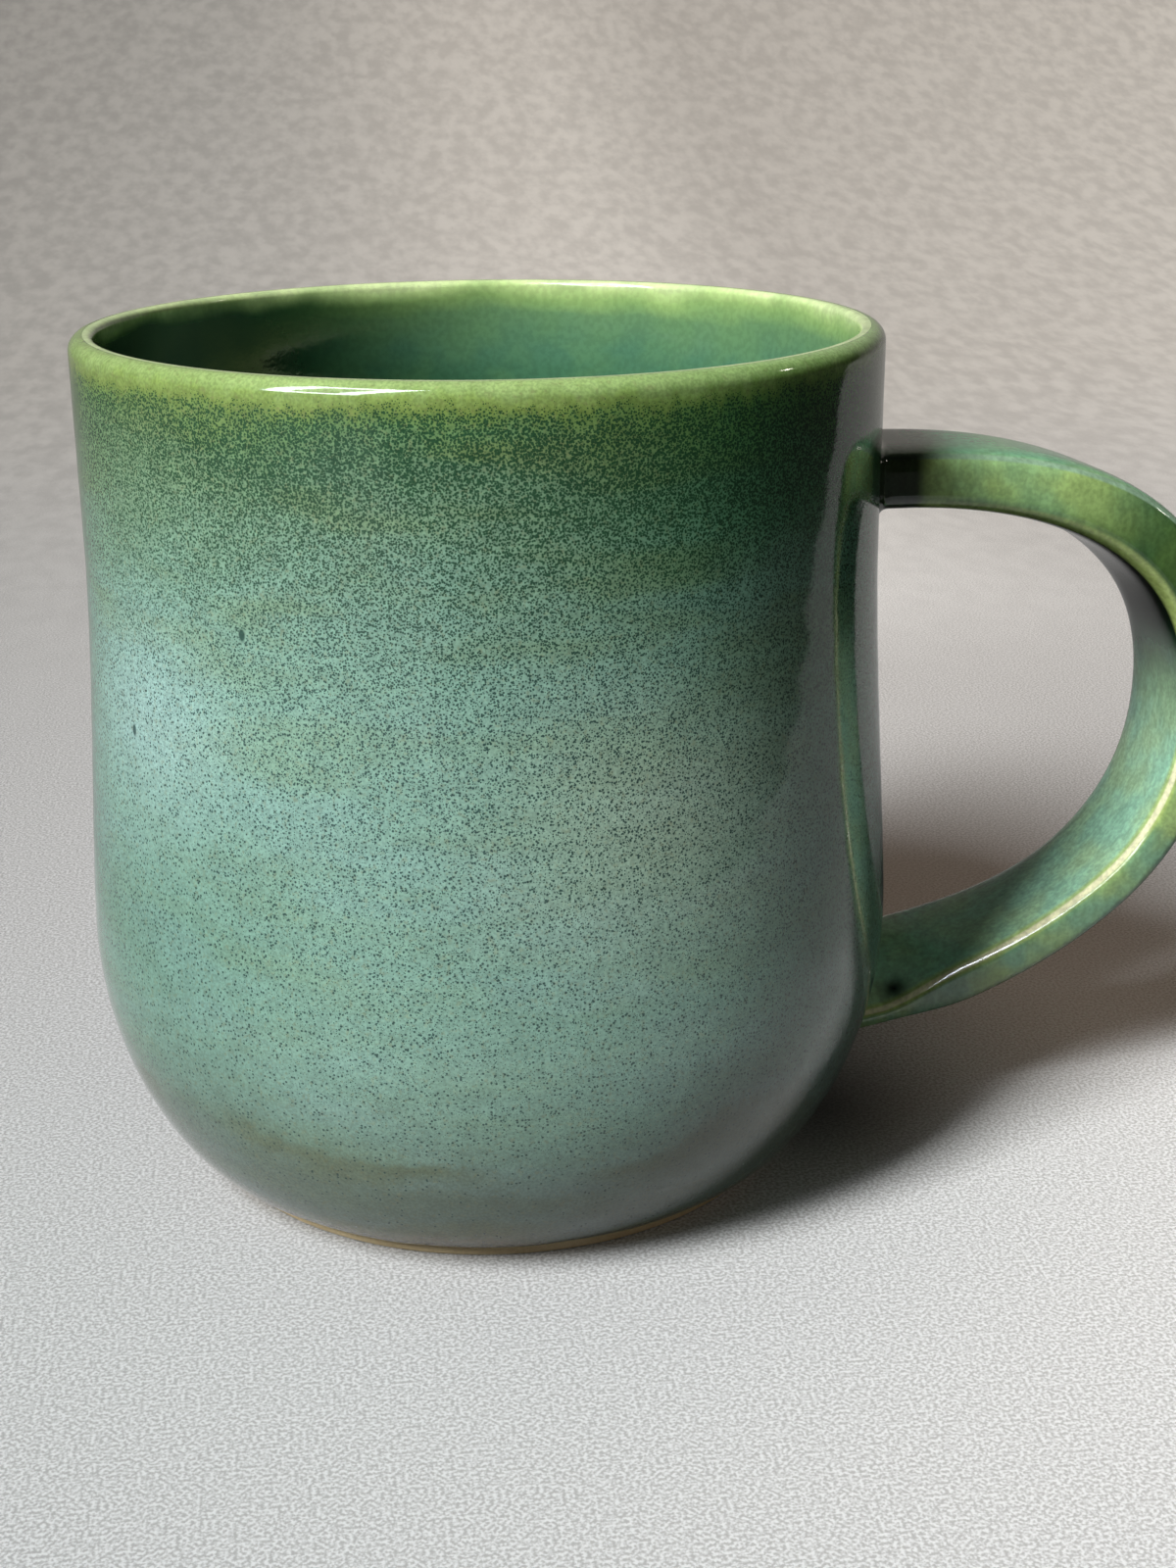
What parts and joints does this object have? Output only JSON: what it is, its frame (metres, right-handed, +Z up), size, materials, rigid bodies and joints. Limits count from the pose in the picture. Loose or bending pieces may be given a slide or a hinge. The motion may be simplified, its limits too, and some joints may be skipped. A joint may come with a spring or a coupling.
{
  "type": "ceramic mug",
  "caption": "Hand-thrown stoneware mug with a rounded belly, a small trimmed foot and a pulled strap handle, glazed inside and out with a bare clay foot.",
  "frame": {"origin": "centre of the foot ring's underside, on the axis of the cup, where the mug meets the table", "axes": "+Z up along the axis of the cup, +X from the axis towards the handle, the handle's curve in the XZ plane"},
  "size_m": [0.13, 0.0902, 0.0939],
  "materials": {
    "stoneware_clay": "matte",
    "clay_slip": "matte",
    "wall_glaze": "gloss",
    "liner_glaze": "gloss",
    "handle_glaze": "gloss"
  },
  "bodies": {
    "root": {"body": "stoneware_clay", "handle": "stoneware_clay", "upper_slip_joint": "clay_slip", "lower_slip_joint": "clay_slip", "outer_glaze": "wall_glaze", "liner_glaze": "liner_glaze", "handle_glaze": "handle_glaze"}
  },
  "joints": []
}
